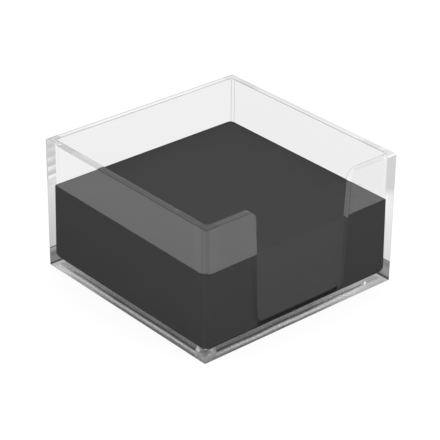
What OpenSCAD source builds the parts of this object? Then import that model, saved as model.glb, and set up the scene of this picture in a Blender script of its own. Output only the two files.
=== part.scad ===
// Clear, square desk holder for loose memo sheets, moulded in one piece, with a finger notch
// in its front wall and a stack of dark grey sheets inside.
// The origin is at the centre of the underside, +Z is up and the notch faces -Y.

/* [Holder] */
// Outside width and depth of the square holder
holder_w = 100; // [80:1:160]
// Height of the rim above the desk
holder_h = 58.5; // [52:0.5:120]
// Thickness of the four walls
wall_t = 3; // [2:0.25:6]
// Thickness of the floor
floor_t = 3; // [2:0.25:8]
// Radius of the tray's upright corners
corner_r = 2; // [0.5:0.25:8]
// Radius of the cove where the walls run into the floor
cove_r = 3; // [0.5:0.25:6]
// Rounding of the moulding's outer edges
edge_r = 0.4; // [0.1:0.1:0.8]

/* [Finger notch] */
// Width of the notch between its sides, measured at the height of the rim
notch_rim_w = 50.5; // [47:0.5:60]
// Width of the notch between its sides, measured at the height of the sill
notch_sill_w = 46; // [30:0.5:50]
// Upright wall left between the top of the cove and the sill
sill_lip = 0.3; // [0:0.1:10]
// Radius of the notch's two lower corners
sill_r = 6; // [1:0.5:14]
// Radius of the wall's two shoulders beside the notch
shoulder_r = 4; // [1:0.5:10]

/* [Memo sheets] */
// Height of the stack of sheets
stack_h = 35.5; // [10:0.5:44]
// Gap between the sheets and the walls of the tray
stack_gap = 0.3; // [0.1:0.1:1.5]

/* [Hidden] */
$fn = 96;
// How far a cut runs past the surface that it opens
overrun = 1;
tray_w = holder_w - 2 * wall_t;
sill_z = floor_t + cove_r + sill_lip;
notch_h = holder_h - sill_z;
// Lean of the notch's sides from upright, opening towards the rim
notch_lean = atan((notch_rim_w - notch_sill_w) / 2 / notch_h);

// Square of side w about the origin, its corners rounded to radius r
module rounded_square(w, r) {
    square([w - 2 * r, w], center = true);
    square([w, w - 2 * r], center = true);
    for (x = [-1, 1], y = [-1, 1])
        translate([x * (w / 2 - r), y * (w / 2 - r)]) circle(r);
}

// Section of a box of width w and height h that stands on the x axis,
// with its foot rounded to foot_r and its top to top_r
module box_section(w, h, foot_r, top_r) {
    translate([-w / 2, foot_r]) square([w, h - foot_r - top_r]);
    translate([foot_r - w / 2, 0]) square([w - 2 * foot_r, foot_r]);
    translate([top_r - w / 2, h - top_r]) square([w - 2 * top_r, top_r]);
    for (x = [-1, 1]) {
        translate([x * (w / 2 - foot_r), foot_r]) circle(foot_r);
        translate([x * (w / 2 - top_r), h - top_r]) circle(top_r);
    }
}

// Straight-topped version of the same section, as a tray's hollow or a stack has
module tray_section(w, h, foot_r) {
    translate([-w / 2, foot_r]) square([w, h - foot_r]);
    translate([foot_r - w / 2, 0]) square([w - 2 * foot_r, foot_r]);
    for (x = [-1, 1])
        translate([x * (w / 2 - foot_r), foot_r]) circle(foot_r);
}

// Stands a drawn section up and runs it length l along the y axis
module run_along_y(l) {
    rotate([90, 0, 0]) linear_extrude(l, center = true) children();
}

// Solid with upright corners of radius upright_r, whose four sides all have the drawn section:
// the two runs of the section cross, and their rounded edges meet in mitres
module four_sided(w, h, upright_r) {
    intersection() {
        linear_extrude(h) rounded_square(w, upright_r);
        run_along_y(w) children();
        rotate([0, 0, 90]) run_along_y(w) children();
    }
}

// Half of the notch's width at height z, between its leaning sides
function notch_side(z) = notch_sill_w / 2 + (z - sill_z) * tan(notch_lean);

// Outline of the notch, seen from the front: rounded lower corners, leaning sides,
// and a rim that turns down into the notch over two round shoulders
module notch_outline() {
    // Across a leaning side, a radius r spans r * spread
    spread = 1 / cos(notch_lean);
    low_z = sill_z + sill_r;
    low_x = notch_side(low_z) - sill_r * spread;
    high_z = holder_h - shoulder_r;
    high_x = notch_side(high_z) + shoulder_r * spread;
    right = [
        [low_x, sill_z],
        [low_x + sill_r * cos(notch_lean), low_z - sill_r * sin(notch_lean)],
        [high_x - shoulder_r * cos(notch_lean), high_z + shoulder_r * sin(notch_lean)],
        [high_x, high_z],
        [high_x, holder_h + overrun]
    ];
    left = [for (i = [len(right) - 1 : -1 : 0]) [-right[i].x, right[i].y]];
    difference() {
        union() {
            polygon(concat(right, left));
            for (side = [-1, 1])
                translate([side * low_x, low_z]) circle(sill_r);
        }
        for (side = [-1, 1])
            translate([side * high_x, high_z]) circle(shoulder_r);
    }
}

// Cuts the outline through the front wall only
module finger_notch() {
    translate([0, (wall_t - holder_w) / 2, 0])
        run_along_y(wall_t + 2 * overrun) notch_outline();
}

// The clear moulding: a square tub with a coved floor and the notch in its front wall
module holder() {
    color([0.93, 0.95, 0.96, 0.35])
    difference() {
        four_sided(holder_w, holder_h, edge_r)
            box_section(holder_w, holder_h, edge_r, edge_r);
        translate([0, 0, floor_t])
            four_sided(tray_w, holder_h, corner_r) tray_section(tray_w, holder_h, cove_r);
        finger_notch();
    }
}

// The stack of sheets: it lies on the floor of the tray and follows its corners and cove
module memo_sheets() {
    stack_w = tray_w - 2 * stack_gap;
    color([0.27, 0.27, 0.28])
    translate([0, 0, floor_t])
        four_sided(stack_w, stack_h, corner_r) tray_section(stack_w, stack_h, cove_r);
}

holder();
memo_sheets();
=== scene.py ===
from math import radians

import bmesh
import bpy
from mathutils import Matrix, Vector


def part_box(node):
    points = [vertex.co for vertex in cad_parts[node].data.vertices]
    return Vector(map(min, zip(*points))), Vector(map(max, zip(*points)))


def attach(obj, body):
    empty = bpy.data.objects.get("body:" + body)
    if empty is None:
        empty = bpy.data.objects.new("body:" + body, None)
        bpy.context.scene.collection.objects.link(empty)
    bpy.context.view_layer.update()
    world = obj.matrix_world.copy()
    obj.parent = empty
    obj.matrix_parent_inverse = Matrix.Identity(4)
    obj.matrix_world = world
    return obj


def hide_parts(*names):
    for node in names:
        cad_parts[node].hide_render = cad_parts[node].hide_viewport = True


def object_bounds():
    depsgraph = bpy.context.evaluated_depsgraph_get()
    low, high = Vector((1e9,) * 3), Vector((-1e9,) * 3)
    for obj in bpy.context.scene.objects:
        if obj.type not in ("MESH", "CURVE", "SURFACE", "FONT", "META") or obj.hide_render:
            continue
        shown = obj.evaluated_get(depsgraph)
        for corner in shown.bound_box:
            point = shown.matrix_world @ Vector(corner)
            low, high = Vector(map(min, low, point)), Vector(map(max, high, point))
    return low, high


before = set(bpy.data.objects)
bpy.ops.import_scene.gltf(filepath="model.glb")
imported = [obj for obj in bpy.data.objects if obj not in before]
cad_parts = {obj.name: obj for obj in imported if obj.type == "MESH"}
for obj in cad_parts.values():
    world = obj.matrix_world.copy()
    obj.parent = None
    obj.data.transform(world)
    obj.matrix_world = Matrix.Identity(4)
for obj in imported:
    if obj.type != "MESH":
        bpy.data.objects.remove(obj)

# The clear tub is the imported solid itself. The stack of sheets is modelled here, and the table,
# light and camera are set as in a plain studio picture. Sizes are in metres, apart from the places
# that a material reads, which are in millimetres.

MM = 0.001
cad_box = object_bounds()
stack_low, stack_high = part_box("memo_sheets")

# Stack of sheets
SIDE_CORNER_RADIUS = 0.7 * MM
END_CORNER_RADIUS = 2.0 * MM
CORNER_STEPS = 6
FOOT_RADIUS = 3.1 * MM
FOOT_STEPS = 10
FOOT_CORNER_CUT = 2.0 * MM
CUT_EDGE = 0.12 * MM
CUT_EDGE_STEPS = 2
PRESSED_OUT = 1.1 * MM
FOOT_SPREAD = 0.4 * MM
SETTLED = 0.9 * MM
OFF_THE_FLOOR = 0.02 * MM
SAME_PLACE = 0.01 * MM
CUT_TOLERANCE = 1e-7

# Places on the tub, in millimetres. In these and the next names SOFT is how soft a mask's edge is,
# AT is where a line lies, HALF is half its width, and RUN is where a change starts and ends.
HALF_WIDTH = cad_box[1].x / MM
RIM_HEIGHT = cad_box[1].z / MM
STACK_HEIGHT = stack_high.z / MM
SOFT = 0.1
LINE_SOFT = 0.15
WALL_TURN = 0.3
OUTER_FACE = HALF_WIDTH - 0.25
INNER_FACE = HALF_WIDTH - 2.85
RIM = RIM_HEIGHT - 0.4
STACK_TOP = STACK_HEIGHT - 0.4
VEIL_FOOT = STACK_HEIGHT + 0.95
VEIL_BEND_START = 46.5
VEIL_BEND = -0.12
VEIL_TILT = -0.008
COVE_TOP = 6.5
CUT_FOOT = 4.1
POST = (44.6, 43.3)
POST_SOFT = 0.15
INNER_CORNER = (42.6, 41.25)
POST_FLOOR = 36.0
POST_FLOOR_SOFT = 0.2
FOOT_TOP = (6.7, 7.0)
FOOT_SOFT = 0.15
FRONT_SKIN = -49.25
FRONT_SKIN_SOFT = 0.25

# How steeply the lines on an upright corner run, as height for each millimetre from its edge
POST_SLANT = (0.83, 0.724)
GLINT_SLANT = 0.65
LEVEL_SLANT = 0.36

# Share of the light that each surface of the plastic lets through. It is painted into the
# plastic's colour, and its grey bands, dark and bright lines and glints are painted light and
# shade that stand for what the plastic's refraction and reflections show. Of two values, the first
# is for the front and back walls and the second for the side walls, or they are the two ends of a run.
THROUGH_WALL = (0.835, 0.82)
THROUGH_BOTTOM = 0.47
BOTTOM_TURN = (0.1, -0.2)
BOTTOM_EDGE = (-2.2, -1.5)
FRONT_WALL = 0.95
FRONT_STACK = 0.86
FRONT_STACK_END = (45.4, 46.2)
BESIDE_STACK = (0.76, 0.85)
EDGE_SHARE = 0.8
EDGE_TURN = (49.3, 49.7)
CORNER_STEP = 0.165
CORNER_LINE = 0.68
CORNER_LINES_AT = (0.1, 2.1)
CORNER_LINE_HALF = 0.12
CORNER_LINES_START = 44.0
CORNER_LINES_SOFT = 0.5
PAINTED_LIGHT_LINE = 1.15
PAINTED_LIGHT_LINE_AT = 45.8
PAINTED_LIGHT_LINE_HALF = 0.3
PAINTED_LIGHT_LINE_HEIGHTS = ((28, 34), (42, 41))

# Upright corners, in painted grey, painted glints and a foot banded in painted light and shade
POST_HIGH = (0.575, 0.50)
POST_MIDDLE = (0.80, 0.66)
POST_MIDDLE_TOP = (41.0, 39.85)
POST_MIDDLE_SOFT = (1.8, 0.1)
END_POST = 0.9
GLINT_START = 37.3
GLINT_PITCH = 4.1
GLINT_BAND = ((0.3, 0.7), (0.99, 0.93))
GLINT_EDGE = 48.95
GLINT_EDGE_SOFT = 0.25
GLINT_HEIGHTS = (53, 43)
GLINT_GAIN = (0.09, 0.36)
POST_LOW_START = 8
POST_LOW_FRONT = (0.70, 0.825)
POST_LOW_SIDE = (0.90, 0.98)
POST_FOOT_HEIGHT = 9.0
POST_FOOT_SOFT = 0.05
LEAVING_START = 41.5
LEAVING_SOFT = 0.2
POST_FOOT_FRONT_TOP = 8.15
POST_FOOT_FRONT = [
    (0.0, 0.10), (0.6, 0.10), (0.9, 0.29), (3.2, 0.28), (4.6, 0.21), (6.0, 0.33), (7.2, 0.48),
    (7.5, 0.38), (7.7, 0.17), (9.0, 0.17)]
POST_FOOT_SIDE_TOP = 8.7
POST_FOOT_SIDE = [
    (0.0, 0.08), (0.6, 0.08), (1.0, 0.26), (2.0, 0.37), (4.4, 0.37), (5.4, 0.33), (6.8, 0.27),
    (8.2, 0.35), (8.5, 0.16), (9.0, 0.16)]

# Ranges that the patterns mostly keep to
NOISE_MIDDLE = (0.3, 0.7)
CELL_MIDDLE = (0.2, 0.8)

# Painted streaks of light and shade in the foot, each level with its height, and how they brighten
# along the front
BASE_HEIGHT = 8.0
BASE_STREAKS = [
    (0.0, 0.20), (0.6, 0.16), (1.2, 0.14), (1.6, 0.20), (2.4, 0.43), (2.8, 0.41),
    (3.3, 0.22), (3.9, 0.05), (4.3, 0.07), (4.9, 0.15), (5.6, 0.17), (8.0, 0.17)]
STREAK_LIFT = [
    (-50, 0.5), (-30, 0.53), (-15, 0.57), (0, 0.64), (15, 0.68), (30, 0.74), (38, 0.56), (46, 0.5)]
NO_LIFT = 0.5
STREAK_DROP = 0.45
STREAK_DROP_RUN = (0, 25)
WANDER_SCALE = (45, 45, 0)
WANDER_RANGE = (-0.2, 0.2)
FAR_END = 0.75
FAR_END_RUN = (5, 40)
FAR_END_HEIGHTS = (2.6, 4.0)
FAR_END_LOW = (0.50, 0.62)
FAR_END_HIGH = 0.42
DASH = 0.45
DASH_AT = 4.0
DASH_HALF = 0.2
DASH_RUN = ((10, 22), (34, 33))
# Painted patches of light and shade like small facets in the foot of an end corner
FACET_STREAKS = [
    (0.0, 0.18), (1.1, 0.24), (2.0, 0.34), (3.2, 0.30), (4.6, 0.43), (5.2, 0.42), (6.4, 0.2)]
FACET_RIDGE = 0.55
FACET_RIDGE_AT = 46.9
FACET_RIDGE_SOFT = 0.5
FACET_RIDGE_HEIGHTS = (3.5, 4.5)
FACET_CELLS = (420, 420, 420)
FACET_RANGE = (0.7, 1.35)
FACET_START = 44.2
FACET_SOFT = 0.3
FACET_POINT = 3.6
FACET_NARROWS = -0.4
MOTTLE_SCALE = (80, 80, 2200)
MOTTLE_MIDDLE = (0.35, 0.65)
MOTTLE_RANGE = (0.78, 1.22)
FINE_SCALE = (900, 900, 2400)
FINE_RANGE = (0.75, 1.25)
CALM_END = 0.75
CALM_RUN = (22, 34)
BRIGHT_SPOT_PLACE = (35.6, 3.9)
BRIGHT_SPOT_SIZE = (0.95, 0.7)

# Rim, in painted tones, painted dark lines and painted highlights
RIM_RUN = (-40, 40)
RIM_FRONT_TO_BACK = (0.90, 0.84)
RIM_LEFT = 0.70
RIM_RIGHT = (0.80, 0.72)
RIM_RIGHT_RUN = (-35, 0)
RIM_CORNER = (0.6, 0.74)
RIM_CORNER_TURN = (44, 44.5)
RIM_PATCH = 0.9
RIM_PATCH_RUN = ((32, 34), (42.5, 41.5))
RIM_GLEAM = 1.25
RIM_GLEAM_AT = 47.6
RIM_GLEAM_HALF = 0.15
RIM_GLEAM_SOFT = 0.2
RIM_GLEAM_END = (31, 30)
RIM_LINE_HALF = 0.2
INNER_LINE = 0.75
INNER_LINE_AT = 47.1
OUTER_LINE = 0.74
OUTER_LINE_AT = 49.1
OUTER_LINE_START = (40, 46)
END_LINE = 1.0
END_LINE_EDGE = (-49.4, -49.6)
END_LINE_START = (45, 45.5)
DOT_PLACE = (-48.6, 42.1)
DOT_SIZE = (0.9, 0.6)

# Cut faces of the notch, with painted shade and a faint glow that stands for a reflection
CUT_STEP = 38.05
CUT_STEP_SOFT = 0.25
CUT_LOW = 0.84
CUT_LOW_START = 9.0
CUT_LOW_SOFT = 0.5
CUT_GLEAM = 0.083
CUT_GLEAM_TOP = 55.0
CUT_GLEAM_SOFT = 0.5
CUT_GLEAM_LINE = 0.8
CUT_GLEAM_LINE_AT = 48.2
CUT_GLEAM_LINE_HALF = 0.1
SILL_TOP = 7.75
SILL_SOFT = 0.75
SILL_SHARE = (0.45, 0.8)
SILL_RUN = (49.1, 49.8)

# Gloss
PLASTIC_IOR = 1.003
COAT_IOR = 1.9
WALL_GLOSS = (0.86, 0.77)
SIDE_POST_GLOSS = 0.97
END_POST_GLOSS = (0.97, 0.88)
END_POST_LINES = (0.8, 0.82)
END_POST_LINES_AT = (48.9, 48.0)
END_POST_LINES_HALF = (0.6, 0.7)
RIM_GLOSS = 0.55

# Paper
PAPER = 0.0535
FIBRE_SCALE = (900, 900, 900)
SHEET_EDGE_SCALE = (12, 12, 4000)
GRAIN_TONE = (0.97, 1.03)
CLOUD_SCALE = (60, 60, 60)
CLOUD_TONE = (-0.01, 0.01)
TOP_START = STACK_TOP - 0.15
TOP_SOFT = 0.05
PAINTED_FRONT_LIGHT = 0.13
PAINTED_FRONT_LIGHT_RUN = (-47, -15)
SHADED_FOOT = 0.45
SHADED_FOOT_TOP = 7.0
SHADED_FOOT_HALF_WIDTH = 21.5
SHADED_FOOT_SOFT = 0.5
SHADED_FOOT_FRONT = (-46, -47)
BUMP_STRENGTH = 0.15
BUMP_DEPTH = 0.02 * MM
PAPER_ROUGHNESS = 0.95
PAPER_SHINE = 0.05

# Table
TABLE_MATT = 0.8
TABLE_SEEN = 0.2
TABLE_GLOW = 0.84
TABLE_MIRRORED = 0.95
TABLE_SIZE = 6.0
TABLE_DROP = 0.1 * MM

# Light
FRONT_LIGHT_PLACE = Vector((-0.1, -0.7, 0.3))
FRONT_LIGHT_AIM = Vector((0, -50 * MM, 30 * MM))
FRONT_LIGHT_SIZE = 0.6
FRONT_LIGHT_WATTS = 1.5
CLEAR_BOUNCES = 48
MATT_BOUNCES = 4

# Camera
AZIMUTH = radians(-41.09)
ELEVATION = radians(28.61)
ROLL = radians(0.67)
DISTANCE = 776.6 * MM
AIM = Vector((0, 0, 25 * MM))
AIM_SLIDE = (0.30 * MM, -0.256 * MM)
SENSOR = 36.0
FOCAL_PIXELS = 1896.5
PICTURE_PIXELS = 440


def add_piece(name, bm, material, smooth=True):
    """Turns a finished bmesh into an object at the origin with one material."""
    bmesh.ops.recalc_face_normals(bm, faces=bm.faces)
    mesh = bpy.data.meshes.new(name)
    bm.to_mesh(mesh)
    bm.free()
    piece = bpy.data.objects.new(name, mesh)
    bpy.context.scene.collection.objects.link(piece)
    mesh.materials.append(material)
    for face in mesh.polygons:
        face.use_smooth = smooth
    return piece


def start_material(name):
    """A new material with its node tree and its Principled shader."""
    material = bpy.data.materials.new(name)
    material.use_nodes = True
    return material, material.node_tree, material.node_tree.nodes["Principled BSDF"]


def feed(tree, value, socket):
    """Puts a number on a socket, or links another node's output to it."""
    if isinstance(value, (int, float)):
        socket.default_value = value
    else:
        tree.links.new(value, socket)


def calc(tree, operation, *values):
    """One step of arithmetic on numbers and other nodes' outputs."""
    node = tree.nodes.new("ShaderNodeMath")
    node.operation = operation
    for value, socket in zip(values, node.inputs):
        feed(tree, value, socket)
    return node.outputs[0]


def product(tree, *values):
    """All the values multiplied together."""
    result = values[0]
    for value in values[1:]:
        result = calc(tree, "MULTIPLY", result, value)
    return result


def invert(tree, value):
    """One minus the value."""
    return calc(tree, "SUBTRACT", 1, value)


def gap(tree, value, place):
    """How far the value is from a place, on either side."""
    return calc(tree, "ABSOLUTE", calc(tree, "SUBTRACT", value, place))


def ramp(tree, value, start, end, low=0.0, high=1.0):
    """low up to start, high from end on, and a straight run between them."""
    node = tree.nodes.new("ShaderNodeMapRange")
    feed(tree, value, node.inputs["Value"])
    for name, number in (("From Min", start), ("From Max", end), ("To Min", low), ("To Max", high)):
        feed(tree, number, node.inputs[name])
    return node.outputs["Result"]


def past(tree, value, place, soft=SOFT):
    """0 short of a place and 1 past it, with a soft edge."""
    return ramp(tree, value, place - soft, place + soft)


def short_of(tree, value, place, soft=SOFT):
    """1 short of a place and 0 past it, with a soft edge."""
    return ramp(tree, value, place + soft, place - soft)


def blend(tree, mask, without, with_mask):
    """The first value where the mask is 0, and the second where it is 1."""
    node = tree.nodes.new("ShaderNodeMix")
    feed(tree, mask, node.inputs["Factor"])
    feed(tree, without, node.inputs["A"])
    feed(tree, with_mask, node.inputs["B"])
    return node.outputs["Result"]


def stops(tree, value, low, high, levels):
    """Reads a row of levels, each given with its place between low and high."""
    node = tree.nodes.new("ShaderNodeValToRGB")
    feed(tree, ramp(tree, value, low, high), node.inputs["Fac"])
    elements = node.color_ramp.elements
    while len(elements) < len(levels):
        elements.new(0.5)
    for element, (place, level) in zip(elements, levels):
        element.position = (place - low) / (high - low)
        element.color = (level, level, level, 1)
    return node.outputs["Color"]


def between(tree, value, rise, fall):
    """1 between two places and 0 outside them, each given as where its soft edge starts and ends."""
    return product(tree, ramp(tree, value, *rise), ramp(tree, value, *fall))


def line(tree, value, place, half_width, level, soft=LINE_SOFT):
    """level on a soft-edged line at one place, and 1 beside it."""
    return ramp(tree, gap(tree, value, place), half_width, half_width + soft, level, 1.0)


def spot(tree, across, up, place, size):
    """1 on a small diamond round a place, and 0 outside it."""
    away = calc(tree, "ADD", gap(tree, across, place[0]), gap(tree, up, place[1]))
    return ramp(tree, away, *size)


def axes_in_mm(tree):
    """The three Object coordinates, in millimetres."""
    place = tree.nodes.new("ShaderNodeTexCoord")
    scaled = tree.nodes.new("ShaderNodeVectorMath")
    scaled.operation = "SCALE"
    scaled.inputs["Scale"].default_value = 1 / MM
    tree.links.new(place.outputs["Object"], scaled.inputs[0])
    axes = tree.nodes.new("ShaderNodeSeparateXYZ")
    tree.links.new(scaled.outputs[0], axes.inputs[0])
    return axes.outputs


def scaled_place(tree, scale):
    """Object coordinates with a scale for each axis."""
    place = tree.nodes.new("ShaderNodeTexCoord")
    mapping = tree.nodes.new("ShaderNodeMapping")
    tree.links.new(place.outputs["Object"], mapping.inputs["Vector"])
    if isinstance(scale, tuple):
        mapping.inputs["Scale"].default_value = scale
    else:
        tree.links.new(scale, mapping.inputs["Scale"])
    return mapping.outputs["Vector"]


def make_speckle_group():
    """Noise between 0 and 1 on Object coordinates, with a scale per metre for each axis."""
    group = bpy.data.node_groups.new("speckle", "ShaderNodeTree")
    for name, kind in (("Scale", "Vector"), ("Detail", "Float"), ("Roughness", "Float")):
        group.interface.new_socket(name, in_out="INPUT", socket_type="NodeSocket" + kind)
    group.interface.new_socket("Level", in_out="OUTPUT", socket_type="NodeSocketFloat")
    given = group.nodes.new("NodeGroupInput").outputs
    result = group.nodes.new("NodeGroupOutput").inputs
    noise = group.nodes.new("ShaderNodeTexNoise")
    noise.inputs["Scale"].default_value = 1.0
    group.links.new(scaled_place(group, given["Scale"]), noise.inputs["Vector"])
    group.links.new(given["Detail"], noise.inputs["Detail"])
    group.links.new(given["Roughness"], noise.inputs["Roughness"])
    group.links.new(noise.outputs["Fac"], result["Level"])
    return group


def speckle(tree, scale, detail=2.0, roughness=0.5):
    """The speckle group, placed in a material with its own values."""
    node = tree.nodes.new("ShaderNodeGroup")
    node.node_tree = speckle_group
    node.inputs["Scale"].default_value = scale
    node.inputs["Detail"].default_value = detail
    node.inputs["Roughness"].default_value = roughness
    return node.outputs["Level"]


def cells(tree, scale):
    """Small flat cells with a level each between 0 and 1, on Object coordinates."""
    pattern = tree.nodes.new("ShaderNodeTexVoronoi")
    pattern.inputs["Scale"].default_value = 1.0
    tree.links.new(scaled_place(tree, scale), pattern.inputs["Vector"])
    return pattern.outputs["Color"]


class TubPlaces:
    """Where a point of the tub lies: its coordinates in millimetres, and masks for its regions.
    The end corners are the one between the front and left walls and the one across from it. The
    side corners are the other two."""

    def __init__(self, tree):
        self.tree = tree
        self.x, self.y, self.z = axes_in_mm(tree)
        side_x, side_y = calc(tree, "ABSOLUTE", self.x), calc(tree, "ABSOLUTE", self.y)
        self.skew = calc(tree, "SUBTRACT", side_x, side_y)
        self.reach = calc(tree, "MAXIMUM", side_x, side_y)
        self.offset = calc(tree, "MINIMUM", side_x, side_y)
        self.from_corner = calc(tree, "SUBTRACT", self.offset, HALF_WIDTH)
        self.on_side_wall = past(tree, self.skew, 0, WALL_TURN)
        self.on_front_or_back = invert(tree, self.on_side_wall)
        self.along = self.by_wall(self.x, self.y)
        self.end_corner = calc(tree, "GREATER_THAN", product(tree, self.x, self.y), 0)
        self.side_corner = invert(tree, self.end_corner)
        self.inward = tree.nodes.new("ShaderNodeNewGeometry").outputs["Backfacing"]
        self.entering = invert(tree, self.inward)
        self.outer = past(tree, self.reach, OUTER_FACE)
        self.inner = short_of(tree, self.reach, INNER_FACE)
        self.rim = past(tree, self.z, RIM)
        self.post = past(tree, calc(tree, "SUBTRACT", self.offset, self.by_wall(*POST)), 0, POST_SOFT)
        self.slant = calc(tree, "ADD", self.z,
                          product(tree, self.by_wall(*POST_SLANT), self.from_corner))
        self.over_stack = self.mark_over_stack()
        cut_face = product(tree, invert(tree, self.outer), invert(tree, self.inner),
                           invert(tree, self.rim), past(tree, self.z, CUT_FOOT))
        self.cut = product(tree, cut_face, self.entering)
        self.cut_high = product(tree, self.cut, past(tree, self.z, CUT_STEP, CUT_STEP_SOFT))

    def by_wall(self, front, side):
        """One value on the front and back walls, and another on the side walls."""
        return blend(self.tree, self.on_side_wall, front, side)

    def mark_over_stack(self):
        """The part of the outer faces over the stack's level, whose edge bends up at the corners."""
        tree = self.tree
        bend = calc(tree, "MAXIMUM", calc(tree, "SUBTRACT", self.offset, VEIL_BEND_START), 0)
        height = calc(tree, "ADD", product(tree, bend, bend, VEIL_BEND), self.z)
        height = calc(tree, "ADD", height, product(tree, self.along, VEIL_TILT))
        return past(tree, height, VEIL_FOOT)


def inner_wall_share(at):
    """The walls as the tray's side shows them, evenly dimmed as painted shade in place of their
    reflections, with two painted dark lines beside an end corner's radius.
    """
    tree = at.tree
    lines = [line(tree, at.skew, place, CORNER_LINE_HALF, CORNER_LINE) for place in CORNER_LINES_AT]
    corner = product(tree, past(tree, at.offset, CORNER_LINES_START, CORNER_LINES_SOFT),
                     at.end_corner)
    return product(tree, at.by_wall(*THROUGH_WALL), blend(tree, corner, 1.0, product(tree, *lines)))


def post_share(at):
    """An upright corner over the stack's level, in painted light and shade that stands for the light
    it bends and mirrors. A side corner is painted grey with slanting painted glints, over a paler
    middle stretch, and an end corner is painted light."""
    tree = at.tree
    glint_height = calc(tree, "MULTIPLY_ADD", at.from_corner, GLINT_SLANT, at.z)
    level_height = calc(tree, "MULTIPLY_ADD", at.from_corner, LEVEL_SLANT, at.z)
    turns = calc(tree, "DIVIDE", calc(tree, "SUBTRACT", glint_height, GLINT_START), GLINT_PITCH)
    band = calc(tree, "FRACT", turns)
    glint = product(tree, between(tree, band, *GLINT_BAND), at.on_side_wall,
                    short_of(tree, at.offset, GLINT_EDGE, GLINT_EDGE_SOFT),
                    ramp(tree, at.z, *GLINT_HEIGHTS, *GLINT_GAIN))
    high = calc(tree, "ADD", at.by_wall(*POST_HIGH), glint)
    high_part = at.by_wall(*[
        past(tree, height, top, soft) for height, top, soft in zip(
            (level_height, glint_height), POST_MIDDLE_TOP, POST_MIDDLE_SOFT)])
    side = blend(tree, high_part, at.by_wall(*POST_MIDDLE), high)
    return blend(tree, at.end_corner, side, END_POST)


def high_share(at):
    """The outer faces over the stack's level: nearly clear, the front and back walls a little dimmed,
    with a step of painted shade beside a side corner.
    """
    tree = at.tree
    step = past(tree, calc(tree, "SUBTRACT", at.offset, at.by_wall(*INNER_CORNER)), 0)
    step = product(tree, step, at.side_corner, CORNER_STEP)
    wall = product(tree, invert(tree, step), at.by_wall(FRONT_WALL, 1.0))
    return blend(tree, at.post, wall, post_share(at))


def beside_stack_share(at):
    """The outer faces in front of the stack's sides, in painted shade that darkens towards the foot,
    as the floor they mirror darkens near the holder, and is darker on the front and back walls.
    """
    tree = at.tree
    front = blend(tree, at.end_corner,
                  ramp(tree, at.offset, *FRONT_STACK_END, FRONT_STACK, 1.0), FRONT_STACK)
    return product(tree, ramp(tree, at.z, COVE_TOP, STACK_TOP, *BESIDE_STACK),
                   at.by_wall(front, 1.0))


def base_streaks(at, depth):
    """Painted light and dark lines along the foot, standing for the light that the foot bends. On the
    front they lie lower in the left half and get brighter to the right. They give way to a plainer end
    towards the side corners."""
    tree = at.tree
    drop = at.by_wall(ramp(tree, at.x, *STREAK_DROP_RUN, STREAK_DROP, 0.0), 0.0)
    streaks = stops(tree, calc(tree, "ADD", depth, drop), 0.0, BASE_HEIGHT, BASE_STREAKS)
    far_end = ramp(tree, at.z, *FAR_END_HEIGHTS, at.by_wall(*FAR_END_LOW), FAR_END_HIGH)
    streaks = blend(tree, ramp(tree, at.along, *FAR_END_RUN, 0.0, FAR_END), streaks, far_end)
    dash = product(tree, invert(tree, line(tree, depth, DASH_AT, DASH_HALF, 0.0)),
                   between(tree, at.along, *DASH_RUN))
    streaks = product(tree, streaks, blend(tree, dash, 1.0, DASH))
    lift = at.by_wall(stops(tree, at.x, -HALF_WIDTH, HALF_WIDTH, STREAK_LIFT), NO_LIFT)
    return product(tree, streaks, lift, 1 / NO_LIFT)


def corner_facet_shading(at, depth):
    """Painted patches of light and shade in the foot of an end corner, like small facets, darker on
    the upper part of its ridge.
    """
    tree = at.tree
    facets = stops(tree, depth, 0.0, BASE_HEIGHT, FACET_STREAKS)
    ridge = blend(tree, past(tree, at.offset, FACET_RIDGE_AT, FACET_RIDGE_SOFT), 1.0,
                  ramp(tree, depth, *FACET_RIDGE_HEIGHTS, 1.0, FACET_RIDGE))
    patch_shading = ramp(tree, cells(tree, FACET_CELLS), *CELL_MIDDLE, *FACET_RANGE)
    return product(tree, facets, ridge, patch_shading)


def foot_share(at, beside):
    """The foot below the stack: painted streaks and facet-like patches of light and shade, a painted
    mottle that calms down at the right end of the front, one bright spot, and the plain bottom seen
    past a side corner's slanting edge, dimmed as painted shade."""
    tree = at.tree
    wander = speckle(tree, WANDER_SCALE, detail=1)
    # The grain and fine speckles make a painted mottle in the foot's shade
    grain = speckle(tree, MOTTLE_SCALE, detail=3, roughness=0.6)
    fine = speckle(tree, FINE_SCALE, detail=1)
    depth = calc(tree, "ADD", at.z, ramp(tree, wander, *NOISE_MIDDLE, *WANDER_RANGE))
    risen = calc(tree, "MAXIMUM", calc(tree, "SUBTRACT", depth, FACET_POINT), 0)
    pointed = calc(tree, "MULTIPLY_ADD", risen, FACET_NARROWS, at.offset)
    facet_zone = product(tree, past(tree, pointed, FACET_START, FACET_SOFT), at.end_corner)
    share = blend(tree, facet_zone, base_streaks(at, depth), corner_facet_shading(at, depth))
    texture = product(tree, ramp(tree, grain, *MOTTLE_MIDDLE, *MOTTLE_RANGE),
                      ramp(tree, fine, *NOISE_MIDDLE, *FINE_RANGE))
    calm = product(tree, at.on_front_or_back, ramp(tree, at.x, *CALM_RUN, 0.0, CALM_END))
    share = product(tree, share, blend(tree, calm, texture, 1.0))
    bright_spot = product(tree, spot(tree, at.x, at.z, BRIGHT_SPOT_PLACE, BRIGHT_SPOT_SIZE),
                    short_of(tree, at.y, FRONT_SKIN, FRONT_SKIN_SOFT))
    share = blend(tree, bright_spot, share, 1.0)
    through = ramp(tree, at.slant, *BOTTOM_TURN, beside, THROUGH_BOTTOM)
    past_edge = product(tree, ramp(tree, at.slant, *BOTTOM_EDGE), at.side_corner)
    return blend(tree, past_edge, share, through)


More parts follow.
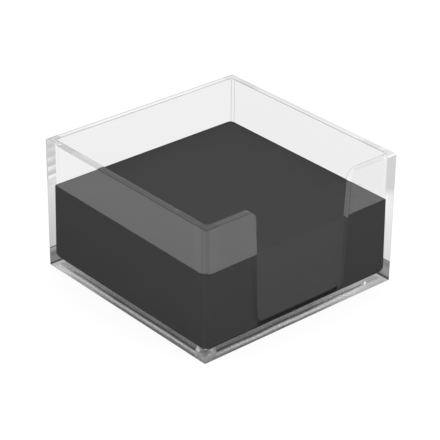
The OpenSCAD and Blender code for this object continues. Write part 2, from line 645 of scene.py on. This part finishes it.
def outer_face_share(at):
    """The outer faces from the foot to the rim, as light goes in, with painted shade on the outer
    edge of a side corner and a painted light line beside the stack's edge on the front and back walls.
    """
    tree = at.tree
    beside = beside_stack_share(at)
    over_foot = calc(tree, "SUBTRACT", at.z, at.by_wall(*FOOT_TOP))
    foot = short_of(tree, over_foot, -FOOT_SOFT, FOOT_SOFT)
    low = blend(tree, foot, beside, foot_share(at, beside))
    post_part = product(tree, at.post, past(tree, at.slant, POST_FLOOR, POST_FLOOR_SOFT),
                        at.side_corner)
    high_part = calc(tree, "MAXIMUM", at.over_stack, post_part)
    # Painted shade on a side corner's outer edge, then a painted light line beside the stack's edge
    edge = blend(tree, at.end_corner, ramp(tree, at.offset, *EDGE_TURN, 1.0, EDGE_SHARE), 1.0)
    painted_light_line = product(tree, between(tree, at.z, *PAINTED_LIGHT_LINE_HEIGHTS), at.on_front_or_back, at.side_corner)
    painted_light_line = blend(tree, painted_light_line, 1.0, line(tree, at.offset, PAINTED_LIGHT_LINE_AT, PAINTED_LIGHT_LINE_HALF, PAINTED_LIGHT_LINE))
    return product(tree, blend(tree, high_part, low, high_share(at)), edge, painted_light_line)


def leaving_share(at):
    """Light that leaves through an upright corner: an even run of painted shade over a foot banded in
    painted light and shade.
    """
    tree = at.tree
    tones = []
    for low_tones, foot_top, foot_tones in (
            (POST_LOW_FRONT, POST_FOOT_FRONT_TOP, POST_FOOT_FRONT),
            (POST_LOW_SIDE, POST_FOOT_SIDE_TOP, POST_FOOT_SIDE)):
        tones.append(blend(tree, short_of(tree, at.z, foot_top, POST_FOOT_SOFT),
                           ramp(tree, at.z, POST_LOW_START, POST_FLOOR, *low_tones),
                           stops(tree, at.z, 0.0, POST_FOOT_HEIGHT, foot_tones)))
    zone = product(tree, past(tree, at.offset, LEAVING_START, LEAVING_SOFT),
                   short_of(tree, at.z, POST_FLOOR, POST_FLOOR_SOFT))
    return blend(tree, zone, 1.0, at.by_wall(*tones))


def rim_share(at, inner_line):
    """The rim, in painted light and shade: a tone for each side, dark lines where it turns into the
    tray and out to the back, a painted gleam beside the notch, a painted darker patch on the side
    rims, a bright line at its right end and a bright dot at its left corner, both painted highlights."""
    tree = at.tree
    front = ramp(tree, at.y, *RIM_RUN, *RIM_FRONT_TO_BACK)
    right = ramp(tree, at.y, *RIM_RIGHT_RUN, *RIM_RIGHT)
    share = at.by_wall(front, ramp(tree, at.x, *RIM_RUN, RIM_LEFT, right))
    gleam = line(tree, at.reach, RIM_GLEAM_AT, RIM_GLEAM_HALF, RIM_GLEAM, RIM_GLEAM_SOFT)
    share = blend(tree, ramp(tree, at.offset, *RIM_GLEAM_END), share, product(tree, share, gleam))
    patch = product(tree, between(tree, at.offset, *RIM_PATCH_RUN), at.on_side_wall)
    share = product(tree, share, blend(tree, patch, 1.0, RIM_PATCH))
    share = blend(tree, ramp(tree, at.offset, *RIM_CORNER_TURN), share,
                  ramp(tree, at.x, *RIM_RUN, *RIM_CORNER))
    outer_line = blend(tree, ramp(tree, at.y, *OUTER_LINE_START), 1.0,
                       line(tree, at.reach, OUTER_LINE_AT, RIM_LINE_HALF, OUTER_LINE))
    share = product(tree, share, inner_line, outer_line)
    end_line = product(tree, ramp(tree, at.y, *END_LINE_EDGE), ramp(tree, at.x, *END_LINE_START))
    share = blend(tree, end_line, share, END_LINE)
    return blend(tree, spot(tree, at.x, at.y, DOT_PLACE, DOT_SIZE), share, 1.0)


def coat_share(at):
    """How much of each face is mirror-bright: the outer faces over the stack's level, and the rim."""
    tree = at.tree
    lines = at.by_wall(*[
        line(tree, at.offset, place, half_width, level) for place, half_width, level in zip(
            END_POST_LINES_AT, END_POST_LINES_HALF, END_POST_LINES)])
    post = blend(tree, at.end_corner, SIDE_POST_GLOSS, at.by_wall(*END_POST_GLOSS))
    gloss = product(tree, at.outer, at.over_stack, blend(tree, at.post, at.by_wall(*WALL_GLOSS), post),
                    blend(tree, at.end_corner, 1.0, lines))
    return product(tree, blend(tree, at.rim, gloss, RIM_GLOSS), at.entering)


def clear_plastic():
    """Clear moulded plastic. Its flat walls are nearly invisible, and it goes grey where one looks
    along it: in the rim, in the upright corners and in the streaked foot below the stack. That grey,
    with its lines and glints, is painted shade and painted highlights in the colour, standing for
    refraction and reflection."""
    material, tree, shader = start_material("clear_plastic")
    at = TubPlaces(tree)
    inner_line = line(tree, at.reach, INNER_LINE_AT, RIM_LINE_HALF, INNER_LINE)
    share = blend(tree, product(tree, at.inner, at.entering), 1.0, inner_wall_share(at))
    share = blend(tree, product(tree, at.outer, at.entering), share, outer_face_share(at))
    share = blend(tree, product(tree, at.outer, at.inward), share, leaving_share(at))
    share = blend(tree, product(tree, at.rim, at.entering), share, rim_share(at, inner_line))

    # The notch's cut faces, dimmed as painted shade: beside the stack, over it, and on the sill
    beside_stack = product(tree, at.cut, past(tree, at.z, CUT_LOW_START, CUT_LOW_SOFT),
                           short_of(tree, at.z, CUT_STEP, CUT_STEP_SOFT))
    share = blend(tree, beside_stack, share, CUT_LOW)
    share = blend(tree, at.cut_high, share, inner_line)
    sill = product(tree, at.cut, short_of(tree, at.z, SILL_TOP, SILL_SOFT))
    share = blend(tree, sill, share, ramp(tree, at.reach, *SILL_RUN, *SILL_SHARE))

    # Light on its way to the paper crosses the plastic unchanged
    to_paper = tree.nodes.new("ShaderNodeLightPath").outputs["Diffuse Depth"]
    share = blend(tree, calc(tree, "MINIMUM", to_paper, 1), share, 1.0)

    # The shader lets through the square root of its colour at each surface
    feed(tree, product(tree, share, share), shader.inputs["Base Color"])
    feed(tree, coat_share(at), shader.inputs["Coat Weight"])

    # Over the stack the cut faces mirror the white room, which a faint glow stands for
    gleam_line = line(tree, at.reach, CUT_GLEAM_LINE_AT, CUT_GLEAM_LINE_HALF, CUT_GLEAM_LINE)
    gleam = product(tree, at.cut_high, short_of(tree, at.z, CUT_GLEAM_TOP, CUT_GLEAM_SOFT),
                    gleam_line, CUT_GLEAM)
    feed(tree, gleam, shader.inputs["Emission Color"])
    shader.inputs["Emission Strength"].default_value = 1.0
    material.cycles.emission_sampling = "NONE"
    shader.inputs["Roughness"].default_value = 0.0
    shader.inputs["IOR"].default_value = PLASTIC_IOR
    shader.inputs["Transmission Weight"].default_value = 1.0
    shader.inputs["Coat IOR"].default_value = COAT_IOR
    shader.inputs["Coat Roughness"].default_value = 0.0
    return material


def grey_paper():
    """Uncoated dark grey paper: a faint fibre cloud on top, with painted light that makes it a little
    lighter to the front, and fine sheet edges on the sides, with painted shade on them behind the
    notch's sill."""
    material, tree, shader = start_material("grey_paper")
    x, y, z = axes_in_mm(tree)
    sides = short_of(tree, z, TOP_START, TOP_SOFT)
    fibre = speckle(tree, FIBRE_SCALE, detail=4)
    cloud = speckle(tree, CLOUD_SCALE, detail=2)
    edges = speckle(tree, SHEET_EDGE_SCALE, detail=2)
    grain = blend(tree, sides, fibre, edges)
    tone = calc(tree, "ADD", ramp(tree, grain, *NOISE_MIDDLE, *GRAIN_TONE),
                ramp(tree, cloud, *NOISE_MIDDLE, *CLOUD_TONE))
    # Painted light: the top is lighter towards the front
    painted_front_light = product(tree, invert(tree, sides),
                        ramp(tree, y, *PAINTED_FRONT_LIGHT_RUN, PAINTED_FRONT_LIGHT, 0.0))
    tone = calc(tree, "ADD", tone, painted_front_light)
    # Painted shade on the paper's sides just behind the notch's sill
    beside_notch = calc(tree, "ABSOLUTE", x)
    at_sill = product(tree, short_of(tree, z, SHADED_FOOT_TOP),
                      short_of(tree, beside_notch, SHADED_FOOT_HALF_WIDTH, SHADED_FOOT_SOFT),
                      ramp(tree, y, *SHADED_FOOT_FRONT))
    tone = product(tree, tone, blend(tree, at_sill, 1.0, SHADED_FOOT))
    feed(tree, product(tree, tone, PAPER), shader.inputs["Base Color"])
    bump = tree.nodes.new("ShaderNodeBump")
    bump.inputs["Strength"].default_value = BUMP_STRENGTH
    bump.inputs["Distance"].default_value = BUMP_DEPTH
    feed(tree, grain, bump.inputs["Height"])
    feed(tree, bump.outputs["Normal"], shader.inputs["Normal"])
    shader.inputs["Roughness"].default_value = PAPER_ROUGHNESS
    shader.inputs["Specular IOR Level"].default_value = PAPER_SHINE
    return material


def white_table_top():
    """A white surface: matt for the light it gives the object, near white where it is looked at."""
    material, tree, shader = start_material("white_table_top")
    path = tree.nodes.new("ShaderNodeLightPath").outputs
    mirrored = calc(tree, "SUBTRACT", path["Is Glossy Ray"], path["Is Transmission Ray"])
    mirrored = calc(tree, "MAXIMUM", mirrored, 0)
    direct = calc(tree, "MAXIMUM", path["Is Camera Ray"], path["Is Transmission Ray"])
    seen = calc(tree, "MAXIMUM", mirrored, direct)
    feed(tree, blend(tree, seen, TABLE_MATT, TABLE_SEEN), shader.inputs["Base Color"])
    glow = blend(tree, mirrored, product(tree, direct, TABLE_GLOW), TABLE_MIRRORED - TABLE_SEEN)
    shader.inputs["Emission Color"].default_value = (1, 1, 1, 1)
    feed(tree, glow, shader.inputs["Emission Strength"])
    shader.inputs["Roughness"].default_value = 1.0
    shader.inputs["Specular IOR Level"].default_value = 0.0
    return material


def round_edges(bm, edges, radius, steps):
    """Rounds the given edges of the stack."""
    bmesh.ops.bevel(bm, geom=edges, offset=radius, segments=steps, affect="EDGES",
                    profile=0.5, material=-1)


def model_stack(material):
    """The stack of sheets: a block with rounded upright corners and a foot rounded as the tray is.
    It is pressed into the clear walls a little, because they make it look wider than it is."""
    low = stack_low - Vector((PRESSED_OUT, PRESSED_OUT, -OFF_THE_FLOOR))
    high = stack_high + Vector((PRESSED_OUT, PRESSED_OUT, -SETTLED))
    bm = bmesh.new()
    bmesh.ops.create_cube(bm, size=1)
    bmesh.ops.scale(bm, vec=high - low, verts=bm.verts)
    bmesh.ops.translate(bm, vec=(low + high) / 2, verts=bm.verts)
    spread = 1 + FOOT_SPREAD / high.x
    lowest = [v for v in bm.verts if v.co.z < low.z + SAME_PLACE]
    bmesh.ops.scale(bm, vec=(spread, spread, 1), verts=lowest)
    foot = [e for e in bm.edges if all(v.co.z < low.z + SAME_PLACE for v in e.verts)]
    round_edges(bm, foot, FOOT_RADIUS, FOOT_STEPS)
    corners = [e for e in bm.edges
               if all(abs(abs(v.co.x) - abs(v.co.y)) < SAME_PLACE for v in e.verts)
               and abs(e.verts[0].co.z - e.verts[1].co.z) > SAME_PLACE]
    ends = [e for e in corners if e.verts[0].co.x * e.verts[0].co.y > 0]
    sides = [e for e in corners if e.verts[0].co.x * e.verts[0].co.y < 0]
    round_edges(bm, ends, END_CORNER_RADIUS, CORNER_STEPS)
    round_edges(bm, sides, SIDE_CORNER_RADIUS, CORNER_STEPS)
    for side_x in (-1, 1):
        for side_y in (-1, 1):
            corner = Vector((side_x * high.x * spread, side_y * high.y * spread, low.z))
            slope = Vector((side_x, side_y, -1)).normalized()
            cut = bmesh.ops.bisect_plane(
                bm, geom=bm.verts[:] + bm.edges[:] + bm.faces[:], dist=CUT_TOLERANCE,
                plane_co=corner - slope * FOOT_CORNER_CUT, plane_no=slope, clear_outer=True)
            opening = [e for e in cut["geom_cut"] if isinstance(e, bmesh.types.BMEdge)]
            bmesh.ops.holes_fill(bm, edges=opening)
    top = [e for e in bm.edges if all(v.co.z > high.z - SAME_PLACE for v in e.verts)]
    round_edges(bm, top, CUT_EDGE, CUT_EDGE_STEPS)
    stack = add_piece("sheet_stack", bm, material)
    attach(stack, "root")
    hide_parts("memo_sheets")


def lay_table(material):
    """The plain white surface that the holder stands on."""
    bm = bmesh.new()
    bmesh.ops.create_grid(bm, x_segments=1, y_segments=1, size=TABLE_SIZE / 2)
    bmesh.ops.translate(bm, vec=(0, 0, -TABLE_DROP), verts=bm.verts)
    table = add_piece("table", bm, material, smooth=False)


def light_studio():
    """Even white light from all round, a weak softbox in front of the notch, and enough bounces
    for light to cross the plastic."""
    world = bpy.data.worlds.new("studio")
    world.use_nodes = True
    background = world.node_tree.nodes["Background"]
    background.inputs["Color"].default_value = (1, 1, 1, 1)
    background.inputs["Strength"].default_value = 1.0
    bpy.context.scene.world = world
    lamp = bpy.data.lights.new("front_softbox", "AREA")
    lamp.size = FRONT_LIGHT_SIZE
    lamp.energy = FRONT_LIGHT_WATTS
    softbox = bpy.data.objects.new("front_softbox", lamp)
    turn = (FRONT_LIGHT_PLACE - FRONT_LIGHT_AIM).to_track_quat("Z", "Y").to_matrix().to_4x4()
    softbox.matrix_world = Matrix.Translation(FRONT_LIGHT_PLACE) @ turn
    bpy.context.scene.collection.objects.link(softbox)
    cycles = bpy.context.scene.cycles
    cycles.max_bounces = CLEAR_BOUNCES
    cycles.glossy_bounces = CLEAR_BOUNCES
    cycles.transmission_bounces = CLEAR_BOUNCES
    cycles.diffuse_bounces = MATT_BOUNCES


def place_camera():
    """A long lens above and to the left of the notch, as in the photograph."""
    data = bpy.data.cameras.new("camera")
    data.sensor_width = SENSOR
    data.lens = SENSOR * FOCAL_PIXELS / PICTURE_PIXELS
    camera = bpy.data.objects.new("camera", data)
    bpy.context.scene.collection.objects.link(camera)
    back = Matrix.Rotation(AZIMUTH, 4, "Z") @ Matrix.Rotation(-ELEVATION, 4, "X") @ Vector((0, -1, 0))
    turn = (-back).to_track_quat("-Z", "Y").to_matrix().to_4x4()
    right, up = turn.col[0].to_3d(), turn.col[1].to_3d()
    place = AIM + right * AIM_SLIDE[0] + up * AIM_SLIDE[1] + back * DISTANCE
    camera.matrix_world = Matrix.Translation(place) @ turn @ Matrix.Rotation(ROLL, 4, "Z")
    bpy.context.scene.camera = camera


speckle_group = make_speckle_group()
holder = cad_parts["holder"]
plastic = clear_plastic()
holder.data.materials.clear()
holder.data.materials.append(plastic)
model_stack(grey_paper())
lay_table(white_table_top())
light_studio()
place_camera()
bpy.context.scene.view_settings.view_transform = "Standard"
